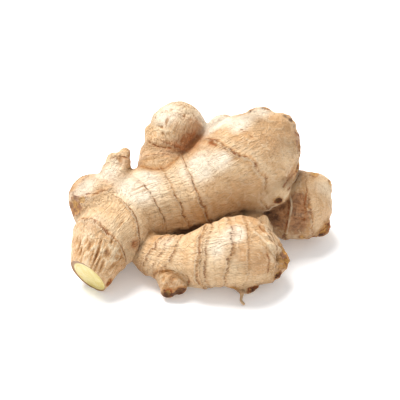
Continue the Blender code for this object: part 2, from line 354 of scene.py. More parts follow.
# Patches of torn, corky skin, given in the same way
TORN_PATCHES = [
    ((-59.9, -11.6, 30.8), 4.2, 0.7, 1.0),
    ((-56.6, -12.5, 35.1), 1.8, 0.4, 0.4),
    ((40.3, -32.2, 16.8), 3.2, 0.7, 0.8),
    ((40.7, -34.6, 14.4), 3.0, 0.7, 0.8),
    ((15.8, -43.1, 6.0), 2.6, 0.5, 0.4),
    ((48.3, 11.6, 51.1), 4.2, 0.6, 0.8),
    ((47.2, 4.0, 42.5), 2.4, 0.8, 0.4),
    ((45.6, 16.4, 62.6), 2.6, 0.5, 0.5),
    ((32.4, 20.2, 67.1), 2.0, 0.5, 0.4),
    ((25.6, 21.8, 65.0), 1.8, 0.5, 0.4),
    ((51.0, -7.6, 9.3), 1.8, 0.4, 0.5),
    ((57.0, 9.0, 35.0), 2.0, 0.5, 0.4),
    ((64.5, 7.4, 31.2), 1.8, 0.5, 0.4),
    ((-10.0, 42.0, 52.0), 3.2, 0.6, 0.7),
    ((-34.0, 18.0, 16.0), 3.0, 0.6, 0.6),
]

# The knife cut across the mother finger's root end
CUT_CENTRE = (-53.1, -39.5, 9.2)
CUT_NORMAL = (-0.56, -0.77, -0.29)

# Where the skin is wrinkled along the finger: centre, radius, depth
WRINKLED = [
    ((-52.0, -37.0, 23.5), 10.0, 0.60),
    ((-42.0, -38.5, 21.0), 8.0, 0.45),
    ((-37.5, -25.0, 31.0), 5.0, 0.30),
    ((-17.0, -13.8, 27.0), 13.0, 0.16),
    ((-24.4, -5.0, 38.8), 9.0, 0.14),
    ((16.8, -4.0, 55.6), 8.0, 0.25),
    ((-17.3, 18.8, 56.4), 9.0, 0.42),
    ((-6.0, 26.0, 60.0), 9.0, 0.36),
    ((-0.5, -41.0, 23.5), 6.0, 0.30),
    ((-24.8, -33.9, 17.6), 6.0, 0.2),
    ((-13.6, -42.0, 10.0), 6.0, 0.60),
    ((-38.5, 11.0, 44.0), 5.0, 0.45),
    ((-2.0, 30.0, 24.0), 14.0, 0.30),
    ((66.0, 8.0, 24.0), 8.0, 0.20),
    ((44.0, -3.0, 43.0), 5.0, 0.50),
    ((49.5, -7.0, 25.0), 6.0, 0.50),
]

# Where the skin is gathered in wider folds
FOLDED = [
    ((32.5, -33.0, 29.0), 8.0, 1.4),
    ((37.0, -34.5, 21.0), 7.0, 1.4),
    ((-52.0, -37.0, 23.5), 9.0, 0.25),
    ((49.5, -7.0, 25.0), 6.0, 0.5),
    ((46.0, 24.0, 18.0), 11.0, 0.5),
    ((26.0, 35.0, 46.0), 10.0, 0.4),
    ((-38.5, 11.0, 44.0), 5.0, 0.6),
    ((-17.3, 18.8, 56.4), 9.0, 0.3),
]

# Brown and orange stains, and painted orange-brown shade under the knob: centre, radius, strength
STAINS_AND_SHADE = [
    ((5.8, 6.3, 56.3), 2.4, 0.9),
    # Painted shade where the knob's underside meets the main finger
    ((-4.0, 18.0, 51.5), 8.0, 0.8),
    ((-5.5, 15.6, 48.5), 4.5, 0.8),
    ((-11.0, 14.0, 47.5), 4.5, 0.6),
    ((-18.0, 12.8, 47.8), 5.0, 0.4),
    # Stains
    ((-48.4, -9.9, 39.1), 1.6, 0.5),
    ((-45.9, -3.3, 39.9), 1.8, 0.45),
    ((-43.6, 0.5, 40.8), 1.4, 0.4),
    ((-31.0, -29.6, 21.2), 2.4, 1.5),
    ((-30.2, -29.0, 16.5), 1.6, 0.6),
    ((44.0, -2.5, 41.5), 4.0, 0.5),
    ((-38.0, 10.0, 43.0), 3.0, 0.3),
    ((40.0, -34.0, 15.5), 5.0, 0.6),
    ((15.8, -43.1, 6.0), 3.5, 0.7),
    ((-14.0, -45.8, 5.0), 3.5, 0.6),
    ((-9.5, -46.2, 6.1), 2.5, 0.6),
    ((-59.0, -11.5, 31.5), 5.0, 0.3),
    ((61.5, -1.5, 12.0), 5.0, 0.5),
    ((-34.0, 18.0, 16.0), 8.0, 0.4),
    ((46.0, 25.7, 18.0), 7.0, 0.4),
    ((8.0, 32.0, 13.0), 5.0, 0.4),
]

# Purple-brown skin on the back lobe, under the overhanging end, and on that end's right side, with
# painted shadow on the back lobe where that end shades it
PURPLE_SKIN_AND_SHADOW = [
    ((48.6, -4.5, 29.0), 4.8, 1.3),
    ((48.8, -8.0, 21.5), 5.0, 1.3),
    ((44.0, -8.0, 21.0), 5.0, 0.9),
    ((48.5, -9.5, 14.0), 4.5, 0.7),
    # Painted shadow where the overhanging end shades the back lobe
    ((38.0, -5.0, 22.0), 7.0, 1.8),
    ((46.6, 10.8, 57.2), 2.4, 0.7),
    ((48.0, 10.0, 52.0), 2.6, 0.8),
]

# Painted shade in the narrow gap between the main and the front finger and on the back lobe
# beside it, dark flakes along the overhanging end's edge, and dark dry scars
GRIME_AND_SHADE = [
    # Painted shade in the gap between the main and the front finger
    ((-11.0, -13.0, 15.5), 3.5, 1.0),
    ((-5.9, -12.2, 16.0), 3.5, 1.2),
    ((-1.0, -11.5, 17.3), 3.5, 1.2),
    ((4.0, -11.0, 19.3), 3.5, 1.1),
    ((9.8, -9.7, 21.5), 3.2, 1.0),
    ((15.0, -9.2, 24.0), 3.0, 0.9),
    ((21.0, -8.3, 25.0), 3.0, 0.8),
    # Painted shade on the back lobe
    ((36.5, -6.5, 20.0), 6.0, 0.75),
    # Dark dry scars and flakes
    ((-16.2, -46.3, 3.8), 2.6, 1.6),
    ((-9.3, -46.0, 5.6), 2.6, 1.7),
    ((-12.5, -46.2, 4.0), 1.6, 0.9),
    ((55.0, -7.6, 9.3), 2.2, 0.7),
    ((24.8, 19.5, 65.6), 1.6, 1.2),
    ((27.0, 17.6, 66.4), 1.1, 0.9),
    ((30.6, 19.4, 67.3), 1.5, 1.2),
    ((32.9, 20.0, 66.4), 1.3, 1.0),
    ((36.6, 16.5, 66.0), 1.1, 0.8),
    ((41.5, 15.0, 65.8), 1.6, 1.2),
    ((44.0, 13.7, 64.2), 1.5, 1.2),
    ((46.0, 12.9, 61.2), 1.4, 1.0),
    ((47.6, 4.6, 42.2), 1.8, 1.0),
    ((36.9, -38.2, 9.4), 1.6, 1.2),
    ((38.2, -10.0, 32.6), 1.5, 2.2),
    ((24.9, -42.7, 3.4), 2.0, 1.1),
]

# Yellow dry fibres round the buds
FIBROUS = [
    ((39.8, -31.0, 17.5), 4.0, 1.0),
    ((41.3, -33.6, 13.6), 3.0, 1.2),
    ((38.6, -37.7, 15.7), 2.2, 0.8),
    ((62.5, -3.5, 10.5), 3.5, 0.9),
    ((-60.0, -11.5, 31.0), 3.0, 0.8),
    ((15.8, -43.1, 6.0), 2.5, 0.5),
]

# Painted highlights: paler colour on the high parts
PAINTED_HIGHLIGHTS = [
    ((0.0, -0.4, 47.3), 10.0, 1.0),
    ((-17.4, 24.4, 61.7), 8.0, 0.9),
    ((7.4, 21.4, 56.5), 8.0, 1.6),
    ((18.0, 14.0, 64.0), 7.0, 0.5),
    ((19.3, 7.0, 64.2), 6.0, 0.6),
    ((-50.0, -26.0, 31.5), 6.0, 0.5),
    ((-40.5, 8.0, 43.5), 5.0, 0.3),
    ((17.3, -36.6, 33.5), 5.0, 1.3),
    ((7.9, -42.2, 27.8), 6.0, 0.5),
    ((-16.7, -29.4, 23.7), 6.0, 0.6),
    ((-29.2, -5.4, 39.0), 10.0, 1.1),
    ((-46.7, 1.6, 40.1), 7.0, 0.9),
    ((-60.0, -8.0, 33.0), 5.0, 0.6),
    ((-56.0, -7.0, 38.0), 6.0, 1.0),
    ((30.3, 16.8, 66.9), 7.0, 0.7),
    ((12.0, -3.9, 53.8), 6.0, 0.6),
    ((59.0, 3.0, 31.0), 7.0, 0.4),
    ((-55.0, -32.8, 26.4), 5.0, 0.4),
]

# Painted shade: browner colour on the flanks
PAINTED_FLANK_SHADE = [
    ((21.6, -11.2, 43.1), 8.0, 0.5),
    ((-14.7, -14.3, 21.3), 8.0, 0.5),
    ((17.7, -44.0, 28.0), 5.0, 0.8),
    ((29.0, -44.2, 22.2), 7.0, 1.0),
    ((-12.0, 18.0, 57.0), 6.0, 0.5),
    ((7.1, -46.4, 14.3), 8.0, 0.4),
    ((-38.1, -37.6, 16.8), 7.0, 0.9),
    ((-1.0, 21.8, 56.3), 5.0, 0.7),
    ((-12.1, -8.1, 37.9), 7.0, 0.3),
    ((31.2, 0.5, 61.2), 7.0, 0.4),
    ((-48.0, -33.0, 28.0), 6.0, 0.4),
]

# The patches that the skin's material reads, by the names that they are stored under
PATCHES = {
    "stain_and_shade": STAINS_AND_SHADE,
    "grime_and_shade": GRIME_AND_SHADE,
    "fibrous": FIBROUS,
    "purple": PURPLE_SKIN_AND_SHADOW,
    "pale": PAINTED_HIGHLIGHTS,
    "flank_shade": PAINTED_FLANK_SHADE,
}

# Dark torn seams in the skin: half their width, and the points that they run through
SEAMS = [
    (0.3, [(19.3, 6.1, 63.9), (20.6, 5.6, 63.8)]),
    (0.3, [(20.8, 4.6, 63.5), (22.4, 4.2, 63.4)]),
    (0.3, [(22.2, 3.2, 63.1), (23.8, 2.9, 62.9)]),
    (0.3, [(24.0, 1.8, 62.5), (25.4, 1.4, 62.1)]),
    (0.3, [(22.3, 7.2, 64.2), (24.4, 6.4, 64.0)]),
    (0.7, [(4.4, 6.8, 55.9), (8.2, 2.7, 56.3)]),
    (0.5, [(11.1, 1.2, 56.8), (13.5, -1.8, 55.9)]),
    (0.6, [(15.4, -2.6, 56.4), (19.2, -5.2, 55.2)]),
    (0.5, [(-25.4, 17.1, 49.2), (-20.8, 13.6, 48.6), (-14.8, 12.3, 48.8)]),
    (0.5, [(-57.1, -11.1, 36.4), (-54.2, -10.9, 37.5), (-49.2, -11.8, 38.7)]),
    (0.6, [(-43.6, 10.3, 44.2), (-40.2, 11.7, 44.5), (-36.3, 12.0, 43.1)]),
    (0.8, [(46.5, 12.0, 58.4), (48.4, 13.6, 52.1), (49.3, 10.7, 48.1)]),
    (0.5, [(28.4, -29.3, 32.1), (32.1, -34.1, 29.2), (36.0, -36.1, 23.0)]),
    (0.6, [(32.7, -23.3, 26.9), (35.9, -28.3, 24.1), (38.6, -33.0, 20.5)]),
    (0.4, [(31.5, -41.1, 24.5), (32.5, -42.0, 19.8), (32.2, -42.7, 14.3)]),
    (0.5, [(43.3, -5.1, 29.7), (43.8, -8.0, 24.5), (43.0, -9.3, 18.1), (41.9, -3.8, 5.0)]),
    (0.4, [(52.8, 0.3, 33.1), (51.6, -6.3, 28.2), (52.1, -8.5, 24.9), (51.3, -9.6, 20.8)]),
    (0.6, [(40.3, -7.5, 39.2), (43.9, -2.1, 40.8), (47.3, 3.7, 40.9)]),
    (0.5, [(42.9, -6.1, 36.5), (47.0, 2.7, 35.0), (49.4, 9.5, 35.1)]),
    (0.6, [(-6.1, -43.8, 13.4), (-5.2, -43.8, 10.9), (-5.7, -42.4, 7.3)]),
]

# Pale raised ridges of skin, given in the same way
RIDGES = [
    (0.8, [(48.9, 9.2, 35.4), (44.7, -0.6, 36.1), (40.4, -9.1, 33.8)]),
    (0.8, [(40.4, -9.1, 33.8), (35.0, -6.6, 26.0), (31.0, -7.7, 24.3)]),
    (0.5, [(44.2, -3.8, 31.8), (45.2, -6.6, 27.8), (44.0, -9.4, 19.4), (43.4, -8.6, 12.0)]),
    (0.9, [(30.4, -27.3, 31.1), (34.1, -32.2, 27.8), (37.6, -33.5, 20.9)]),
    (0.8, [(25.4, -34.2, 32.3), (29.1, -36.0, 30.1), (32.0, -38.0, 26.9), (36.0, -38.0, 19.5)]),
]


def srgb(red, green, blue):
    """A colour in Blender's linear values, from screen values of 0 to 255."""
    channels = [c / 255 for c in (red, green, blue)]
    return (*[c / 12.92 if c < 0.04 else ((c + 0.055) / 1.055) ** 2.4 for c in channels], 1)


CREAM = srgb(235, 199, 154)
TAN = srgb(211, 165, 116)
PALE = srgb(240, 215, 178)
WHITISH = srgb(247, 233, 210)
FLANK = srgb(204, 154, 104)
WARM = srgb(184, 120, 50)
STREAK = srgb(172, 120, 66)
RUST = srgb(150, 76, 18)
BROWN = srgb(112, 56, 18)
DARK = srgb(70, 30, 8)
STRAW = srgb(214, 162, 84)
YELLOW = srgb(206, 148, 70)
SOOT_AND_SHADE = srgb(74, 38, 12)
ORANGE = srgb(160, 86, 22)
PURPLE = srgb(178, 124, 82)
SHADY = srgb(126, 72, 34)
FLESH = srgb(206, 186, 108)
FLESH_PALE = srgb(216, 200, 138)
FLESH_RING = srgb(200, 176, 84)
SKIN_EDGE = srgb(134, 86, 34)


def new_object(name, data):
    """An object of the mesh, camera or light, in the scene."""
    obj = bpy.data.objects.new(name, data)
    bpy.context.scene.collection.objects.link(obj)
    return obj


def applied(obj):
    """The object's mesh with its modifiers applied. The object itself is removed."""
    graph = bpy.context.evaluated_depsgraph_get()
    data = bpy.data.meshes.new_from_object(obj.evaluated_get(graph))
    bpy.data.objects.remove(obj)
    return data


def add_capsule(mesh, start, end):
    """Adds the hull of two balls, each given as x, y, z, radius."""
    capsule = bmesh.new()
    for x, y, z, radius in (start, end):
        place = Matrix.Translation((x, y, z))
        bmesh.ops.create_icosphere(capsule, subdivisions=BALL_DIVISIONS, radius=radius, matrix=place)
    corners = [mesh.verts.new(v.co) for v in capsule.verts]
    capsule.free()
    hull = bmesh.ops.convex_hull(mesh, input=corners)
    loose = {g for g in hull["geom_interior"] + hull["geom_unused"] if isinstance(g, bmesh.types.BMVert)}
    bmesh.ops.delete(mesh, geom=list(loose), context="VERTS")


def grown(name, fingers, voxel, passes):
    """The fingers as one object whose modifiers fuse them and soften the joins."""
    mesh = bmesh.new()
    for finger in fingers:
        for start, end in zip(finger.curve, finger.curve[1:]):
            add_capsule(mesh, start, end)
    data = bpy.data.meshes.new(name)
    mesh.to_mesh(data)
    mesh.free()
    obj = new_object(name, data)
    remesh = obj.modifiers.new("fuse", "REMESH")
    remesh.mode = "VOXEL"
    remesh.voxel_size = voxel
    smooth = obj.modifiers.new("soften joins", "SMOOTH")
    smooth.factor = 0.5
    smooth.iterations = passes
    return obj


def fused_fingers():
    """All the fingers and the rootlet as one closed mesh."""
    body = grown("fingers", FINGERS.values(), VOXEL, SMOOTHING_PASSES)
    rootlet = grown("rootlet", [ROOTLET], ROOTLET_VOXEL, 1)
    union = body.modifiers.new("join the rootlet", "BOOLEAN")
    union.operation = "UNION"
    union.solver = "EXACT"
    union.object = rootlet
    fused = applied(body)
    bpy.data.objects.remove(rootlet)
    return fused


def locate(points, finger):
    """How far each point is outside the finger, how far along it, off its axis, and its grain.

    The grain is the point's place in a frame that follows the finger, shortened along the
    finger. Each station counts by how near it is, so that all runs smoothly round a bend.
    """
    gap = np.full(len(points), np.inf)
    total = np.zeros(len(points))
    along = np.zeros(len(points))
    across = np.zeros(len(points))
    upright = np.zeros(len(points))
    offset = np.zeros(points.shape)
    stations = zip(finger.curve, finger.along, finger.tangents, finger.sides)
    for (x, y, z, radius), start, tangent, side in stations:
        away = points - (x, y, z)
        outside = np.linalg.norm(away, axis=1) - radius
        gap = np.minimum(gap, outside)
        share = np.exp(-outside / STATION_WIDTH)
        total += share
        along += share * (start + away @ tangent)
        across += share * (away @ side)
        upright += share * (away @ np.cross(tangent, side))
        offset += share[:, None] * away
    along /= total
    grain = np.stack([across / total, upright / total, along / GRAIN_LENGTH], axis=1)
    return gap, along, offset / total[:, None], grain


def noise_at(points, size, seed):
    """Smooth noise from -1 to 1 whose bumps are about size across."""
    shift = Vector([seed * step for step in SEED_STEP])
    return np.array([noise.noise(Vector(p) / size + shift) for p in points])


def nearness(points, spots):
    """The spots' strengths at each point: full at a spot's centre, and little past its radius."""
    total = np.zeros(len(points))
    for centre, radius, strength in spots:
        reach = np.linalg.norm(points - centre, axis=1) / radius
        total += strength * np.exp(-(reach**2))
    return total


def beside_lines(points, normals, lines):
    """How far each point is beside the nearest line, in units of half that line's width."""
    nearest = np.full(len(points), FAR_FROM_LINE)
    for width, corners in lines:
        corners = np.array(corners)
        for start, step in zip(corners, np.diff(corners, axis=0)):
            share = np.clip((points - start) @ step / (step @ step), 0, 1)
            away = points - start - share[:, None] * step
            sunk = (away * normals).sum(axis=1)
            beside = np.linalg.norm(away - sunk[:, None] * normals, axis=1) / width
            beside[abs(sunk) > LINE_SUNK] = FAR_FROM_LINE
            nearest = np.minimum(nearest, beside)
    return nearest


def ring_height(past, height):
    """A scale leaf's swelling up to its edge, and the drop and groove past it, where past is over 0."""
    swell = np.exp(np.minimum(past, 0) / RING_SWELL) * (past <= 0)
    drop = np.clip(1 - past / RING_DROP, -RING_GROOVE, 1) * (past > 0)
    recover = np.exp(-np.maximum(past - 2 * RING_DROP, 0) / RING_SWELL)
    return height * (swell + drop * recover)


def scar_height(reach, rim, depth):
    """A raised rim round a hollow. reach is 1 at the rim."""
    raised = rim * np.exp(-(((reach - 1) / RIM_WIDTH) ** 2))
    return raised - depth * np.clip(WALL_START - reach, 0, WALL_WIDTH) / WALL_WIDTH


def read_rings(alongs, offsets, weights, waver):
    """The rings' height, and what the material reads of them.

    That is how far each point is past the nearest ring, how high that ring stands, and the tone
    of the skin between two rings.
    """
    rise = np.zeros(len(waver))
    past_ring = np.full(len(waver), FAR_FROM_RING)
    ring_edge = np.zeros(len(waver))
    tone = np.zeros(len(waver))
    branches = zip(FINGERS.values(), alongs, offsets, weights)
    for index, (finger, along, offset, weight) in enumerate(branches):
        passed = np.zeros(len(waver))
        for place, height, lean in finger.rings:
            past = along + offset @ lean + waver - place
            rise += weight * ring_height(past, height)
            passed += past > 0
            nearer = (abs(past) < abs(past_ring)) & (weight > READ_SHARE)
            past_ring[nearer] = past[nearer]
            ring_edge[nearer] = height * weight[nearer]
        tone += weight * np.sin(TONE_PER_RING * passed + TONE_PER_FINGER * index)
    return rise, {"past_ring": past_ring, "ring_edge": ring_edge, "tone": tone}


def read_scars(points, scars):
    """The scars' height, and how far each point is from the nearest scar in units of its radius."""
    torn_edge = 1 + EDGE_WAVER * noise_at(points, EDGE_SIZE, seed=7)
    rise = np.zeros(len(points))
    nearest = np.full(len(points), FAR_FROM_SCAR)
    for centre, radius, rim, depth in scars:
        reach = torn_edge * np.linalg.norm(points - centre, axis=1) / radius
        rise += scar_height(reach, rim, depth)
        nearest = np.minimum(nearest, reach)
    return rise, nearest


def read_wrinkles(points, grain):
    """The height of the wrinkles and of the wider folds along the fingers."""
    drawn_out = grain / (1, 1, WRINKLE_LENGTH)
    # Sharp ridges between round hollows, with waves a third as large on them
    wrinkles = 0.45 - 2 * abs(noise_at(drawn_out, WRINKLE_SIZE, seed=5))
    wrinkles += 0.5 * noise_at(drawn_out, WRINKLE_SIZE / 3, seed=6)
    wrinkles *= WRINKLE_DEPTH + nearness(points, WRINKLED)
    folds = nearness(points, FOLDED) * noise_at(grain, FOLD_SIZE, seed=8)
    return wrinkles, folds


def read_crevices(gaps):
    """1 in the joins between the main branches, and less away from them."""
    branch_gaps = [gap for name, gap in zip(FINGERS, gaps) if name in BRANCHES]
    second = np.sort(branch_gaps, axis=0)[1]
    return np.exp(-np.maximum(second, 0) / CREVICE_WIDTH)


def read_surface(points, normals):
    """For each point: how far it rises along its normal, its grain, and what its material reads."""
    located = [locate(points, finger) for finger in FINGERS.values()]
    gaps, alongs, offsets, grains = (np.array(values) for values in zip(*located))
    weights = np.exp((gaps.min(axis=0) - gaps) / JOIN_WIDTH)
    weights /= weights.sum(axis=0)
    grain = (weights[:, :, None] * grains).sum(axis=0)

    waver = RING_WANDER * noise_at(points, WANDER_SIZE, seed=1)
    waver += TEETH_LENGTH * noise_at(grain, TEETH_SIZE, seed=3)
    rise, facts = read_rings(alongs, offsets, weights, waver)
    rise += LUMP_HEIGHT * noise_at(points, LUMP_SIZE, seed=2)
    rise += DIMPLE_HEIGHT * noise_at(points, DIMPLE_SIZE, seed=4)
    wrinkles, folds = read_wrinkles(points, grain)
    rise += wrinkles + 2 * folds

    bud_rise, bud = read_scars(points, BUD_SCARS)
    torn_rise, torn = read_scars(points, TORN_PATCHES)
    rise += bud_rise + torn_rise
    rise += TORN_DEPTH * np.clip(TORN_REACH - torn, 0, 1) * noise_at(points, TORN_SIZE, seed=9)
    seam = beside_lines(points, normals, SEAMS)
    ridge = beside_lines(points, normals, RIDGES)
    rise += RIDGE_HEIGHT * np.exp(-(ridge**2)) - SEAM_DEPTH * np.exp(-(seam**2))

    facts["crevice"] = read_crevices(gaps)
    facts["wrinkle"] = wrinkles
    facts["fold"] = folds
    facts["bud"] = bud
    facts["torn"] = torn
    facts["seam"] = seam
    facts["ridge"] = ridge
    for name, spots in PATCHES.items():
        facts[name] = nearness(points, spots)
    return rise, grain, facts


def raise_surface(data):
    """Moves the points along their normals, and stores on them what the skin's material reads."""
    points = np.array([v.co for v in data.vertices])
    normals = np.array([v.normal for v in data.vertices])
    rise, grain, facts = read_surface(points, normals)
    points += normals * rise[:, None]
    data.vertices.foreach_set("co", points.ravel())
    for name, values in facts.items():
        data.attributes.new(name, "FLOAT", "POINT").data.foreach_set("value", values)
    data.attributes.new("grain", "FLOAT_VECTOR", "POINT").data.foreach_set("vector", grain.ravel())


def cut_off(mesh, point, normal):
    """Cuts away all that lies past the plane, and returns the rim's edges."""
    whole = mesh.verts[:] + mesh.edges[:] + mesh.faces[:]
    cut = bmesh.ops.bisect_plane(mesh, geom=whole, plane_co=point, plane_no=normal, clear_outer=True)
    rim = [g for g in cut["geom_cut"] if isinstance(g, bmesh.types.BMEdge)]
    for edge in rim:
        edge.smooth = False
    return rim


def close_with_flesh(mesh, rim):
    """Closes the knife cut with rings of faces towards its middle, a little sunk inside the skin."""
    inward = -Vector(CUT_NORMAL).normalized()
    centre = sum((v.co for e in rim for v in e.verts), Vector()) / (2 * len(rim))
    edges = rim
    faces = []
    reach = 1.0
    for inner, sink in FLESH_RINGS:
        grown_ring = bmesh.ops.extrude_edge_only(mesh, edges=edges)["geom"]
        edges = [g for g in grown_ring if isinstance(g, bmesh.types.BMEdge)]
        corners = {g for g in grown_ring if isinstance(g, bmesh.types.BMVert)}
        faces += [g for g in grown_ring if isinstance(g, bmesh.types.BMFace)]
        edges = [e for e in edges if corners.issuperset(e.verts)]
        for corner in corners:
            flat = corner.co - centre
            flat -= inward * flat.dot(inward)
            corner.co = centre + flat * (inner / reach) + inward * sink
        reach = inner
    faces += bmesh.ops.holes_fill(mesh, edges=edges)["faces"]
    for face in faces:
        face.material_index = 1


def ginger_root():
    """The whole root with its fine relief, in metres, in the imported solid's frame."""
    data = fused_fingers()
    raise_surface(data)
    mesh = bmesh.new()
    mesh.from_mesh(data)
    close_with_flesh(mesh, cut_off(mesh, CUT_CENTRE, CUT_NORMAL))
    # What would reach below the surface is cut flat there
    bmesh.ops.holes_fill(mesh, edges=cut_off(mesh, (0, 0, 0), (0, 0, -1)))
    bmesh.ops.triangulate(mesh, faces=mesh.faces[:])
    bmesh.ops.recalc_face_normals(mesh, faces=mesh.faces[:])
    bmesh.ops.translate(mesh, vec=-Vector(CENTRE), verts=mesh.verts)
    bmesh.ops.scale(mesh, vec=(MM, MM, MM), verts=mesh.verts)
    for face in mesh.faces:
        face.smooth = True
    mesh.to_mesh(data)
    mesh.free()
    data.materials.append(skin())
    data.materials.append(flesh())
    return new_object("ginger_root_skin", data)


class Recipe:
    """A node material, written as formulas of its sockets."""

    def __init__(self, name):
        self.material = bpy.data.materials.new(name)
        self.material.use_nodes = True
        self.tree = self.material.node_tree
        self.shader = self.tree.nodes["Principled BSDF"]

    def feed(self, socket, value):
        """Sets a socket to a plain value, or links it to another socket."""
        if isinstance(value, bpy.types.NodeSocket):
            self.tree.links.new(value, socket)
        else:
            socket.default_value = value

    def math(self, operation, first, second=0.0):
        """The sum, product or other operation on one or two values."""
        node = self.tree.nodes.new("ShaderNodeMath")
        node.operation = operation
        self.feed(node.inputs[0], first)
        self.feed(node.inputs[1], second)
        return node.outputs[0]

    def fact(self, name, output="Fac"):
        """A value that is stored on the mesh."""
        node = self.tree.nodes.new("ShaderNodeAttribute")
        node.attribute_name = name
        return node.outputs[output]

    def place(self):
        """The point's place on the object, in metres."""
        return self.tree.nodes.new("ShaderNodeTexCoord").outputs["Object"]

    def noise(self, place, scale, detail=2.0, distortion=0.0):
        """Cloudy noise from 0 to 1, about 0.5 on average."""
        node = self.tree.nodes.new("ShaderNodeTexNoise")
        self.feed(node.inputs["Vector"], place)
        self.feed(node.inputs["Scale"], scale)
        self.feed(node.inputs["Detail"], detail)
        self.feed(node.inputs["Distortion"], distortion)
        return node.outputs["Fac"]

    def cells(self, place, scale):
        """The distance to the nearest of scattered points, in units of their spacing."""
        node = self.tree.nodes.new("ShaderNodeTexVoronoi")
        self.feed(node.inputs["Vector"], place)
        self.feed(node.inputs["Scale"], scale)
        return node.outputs["Distance"]

    def step(self, value, low, high, to_low=0.0, to_high=1.0):
        """Goes smoothly from to_low to to_high as the value goes from low to high."""
        node = self.tree.nodes.new("ShaderNodeMapRange")
        node.interpolation_type = "SMOOTHSTEP"
        numbers = (value, low, high, to_low, to_high)
        for socket, number in zip(node.inputs, numbers):
            self.feed(socket, number)
        return node.outputs["Result"]

    def band(self, value, centre, width):
        """1 where the value is at the centre, and 0 further off than the width."""
        off = self.math("ABSOLUTE", self.math("SUBTRACT", value, centre))
        return self.step(off, 0.0, width, 1.0, 0.0)

    def waver(self, cloudy, reach):
        """Noise made to lie evenly about zero, and stretched by the reach."""
        return self.math("MULTIPLY", self.math("SUBTRACT", cloudy, 0.5), reach)

    def plus(self, value, other, times):
        """The value, with so many times the other added."""
        return self.math("ADD", value, self.math("MULTIPLY", other, times))

    def mix(self, amount, under, over):
        """The colour under, covered by the colour over where the amount is 1."""
        node = self.tree.nodes.new("ShaderNodeMix")
        node.data_type = "RGBA"
        self.feed(node.inputs[MIX_AMOUNT], amount)
        self.feed(node.inputs[MIX_UNDER], under)
        self.feed(node.inputs[MIX_OVER], over)
        return node.outputs[MIX_RESULT]

    def bump(self, height, distance):
        """Bumps the surface, by up to the distance in metres where the height is 1."""
        node = self.tree.nodes.new("ShaderNodeBump")
        self.feed(node.inputs["Height"], height)
        self.feed(node.inputs["Distance"], distance)
        self.feed(self.shader.inputs["Normal"], node.outputs["Normal"])


def skin():
    """Thin papery skin with a grain along each finger, torn rings, seams, stains and bud scars, and
    painted highlights and shade.
    """
    look = Recipe("ginger_skin_look")
    grain = look.fact("grain", "Vector")
    place = look.place()
    papery = look.noise(place, PAPERY_SCALE, detail=5.0, distortion=0.6)
    cork = look.noise(place, CORK_SCALE, detail=4.0, distortion=1.0)
    ragged = look.waver(cork, 1.6)
    fine = look.noise(grain, FINE_SCALE, detail=4.0)

    colour = plain_skin(look, place, papery, fine)
    colour = creased_and_shaded_skin(look, colour)
    colour, line, lip = ringed(look, colour, place, grain)
    colour = shaded(look, colour, cork, ragged)
    colour, cut = seamed(look, colour, ragged)
    colour = scarred(look, colour, place, papery, cork, ragged)
    look.feed(look.shader.inputs["Base Color"], colour)

    look.feed(look.shader.inputs["Roughness"], look.step(fine, 0.3, 0.7, SKIN_ROUGH, SKIN_SMOOTH))
    look.feed(look.shader.inputs["Specular IOR Level"], SKIN_SHINE)

    crinkled = look.step(look.noise(place, CRINKLED_SCALE), 0.42, 0.6, 0.3, 1.2)
    # The crinkles are fainter where the highlight is painted
    smoother = look.step(look.fact("pale"), 0.2, 0.9, 1.0, 0.5)
    crinkled = look.math("MULTIPLY", crinkled, smoother)
    crinkles = look.noise(grain, CRINKLE_SCALE, detail=5.0, distortion=0.5)
    height = look.math("MULTIPLY", crinkles, crinkled)
    height = look.plus(height, fine, 0.6)
    height = look.plus(height, papery, 1.1)
    height = look.plus(height, lip, 0.1)
    height = look.plus(height, line, -0.25)
    height = look.plus(height, cut, -0.2)
    look.bump(height, SKIN_BUMP)
    return look.material


def plain_skin(look, place, papery, fine):
    """Cream skin: each length between two rings has its own tone, with painted highlight above and
    painted shade below.
    """
    patches = look.noise(place, PATCH_SCALE)
    tone = look.math("MULTIPLY", look.fact("tone"), 0.12)
    colour = look.mix(look.step(look.math("ADD", patches, tone), 0.30, 0.66), TAN, CREAM)
    uneven = look.waver(patches, 0.8)
    # A painted highlight on the high parts, and painted shade on the flanks
    pale = look.math("ADD", look.math("ADD", look.fact("pale"), uneven), tone)
    colour = look.mix(look.step(pale, 0.15, 0.8, 0.0, 0.9), colour, WHITISH)
    flank_shade = look.math("ADD", look.fact("flank_shade"), uneven)
    colour = look.mix(look.step(flank_shade, 0.15, 0.8, 0.0, 0.8), colour, FLANK)
    colour = look.mix(look.step(papery, 0.52, 0.64, 0.0, 0.30), colour, PALE)
    colour = look.mix(look.step(papery, 0.46, 0.34, 0.0, 0.22), colour, STREAK)
    fainter = look.step(pale, 0.2, 0.9, 1.0, 0.4)
    streaked = look.math("MULTIPLY", look.step(fine, 0.46, 0.32, 0.0, 0.45), fainter)
    colour = look.mix(streaked, colour, STREAK)
    return look.mix(look.step(fine, 0.54, 0.68, 0.0, 0.45), colour, PALE)


def creased_and_shaded_skin(look, colour):
    """Darker in wrinkles and folds, paler on their ridges, and painted warm shade in the joins of the
    branches.
    """
    wrinkle = look.fact("wrinkle")
    colour = look.mix(look.step(wrinkle, -0.03, -0.30, 0.0, 0.75), colour, STREAK)
    colour = look.mix(look.step(wrinkle, -0.20, -0.60, 0.0, 0.5), colour, BROWN)
    colour = look.mix(look.step(wrinkle, 0.03, 0.25, 0.0, 0.75), colour, PALE)
    fold = look.fact("fold")
    colour = look.mix(look.step(fold, -0.05, -0.35, 0.0, 0.8), colour, STREAK)
    colour = look.mix(look.step(fold, 0.05, 0.30, 0.0, 0.5), colour, PALE)
    # Painted shade, warm and then brown, in the joins between the main branches
    crevice = look.fact("crevice")
    colour = look.mix(look.step(crevice, 0.2, 1.0, 0.0, 0.8), colour, WARM)
    return look.mix(look.step(crevice, 0.7, 1.0, 0.0, 0.6), colour, BROWN)


